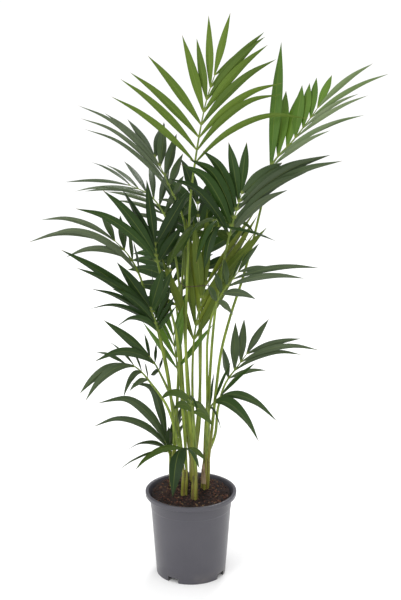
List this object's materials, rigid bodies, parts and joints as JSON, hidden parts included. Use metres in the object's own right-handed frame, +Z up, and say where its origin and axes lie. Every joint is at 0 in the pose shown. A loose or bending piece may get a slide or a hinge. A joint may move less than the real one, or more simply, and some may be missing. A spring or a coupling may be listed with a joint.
{
  "type": "potted palm",
  "caption": "Indoor feather palm with arching fronds on slim stalks, planted as a clump in a round tapered nursery pot.",
  "frame": {"origin": "middle of the pot's underside, at the surface that it stands on", "axes": "+Z up along the pot's axis; -Y towards the front, the side seen in the picture; +X to the right of that side"},
  "size_m": [0.7122, 0.5178, 1.1561],
  "materials": {
    "pot": "satin moulded plastic, mid grey",
    "soil": null,
    "cane": null,
    "leaf": null,
    "tie": "thin dark tie"
  },
  "bodies": {
    "root": {"frond_back_left": "leaf", "frond_back_right": "leaf", "frond_centre": "leaf", "frond_front_low": "leaf", "frond_inner": "leaf", "frond_inner_low": "leaf", "frond_left_back": "leaf", "frond_left_fan": "leaf", "frond_left_high": "leaf", "frond_left_long": "leaf", "frond_left_node": "leaf", "frond_low_inner": "leaf", "frond_low_left_arch": "leaf", "frond_low_left_lower": "leaf", "frond_low_left_middle": "leaf", "frond_low_left_upper": "leaf", "frond_low_right": "leaf", "frond_right_broad": "leaf", "frond_right_lower": "leaf", "frond_right_middle": "leaf", "frond_right_tall": "leaf", "frond_top": "leaf", "plant_tie": "tie", "pot": "pot", "soil": "soil", "stem_back": "cane", "stem_front": "cane", "stem_front_left": "cane", "stem_left": "cane", "stem_right": "cane"}
  },
  "joints": []
}
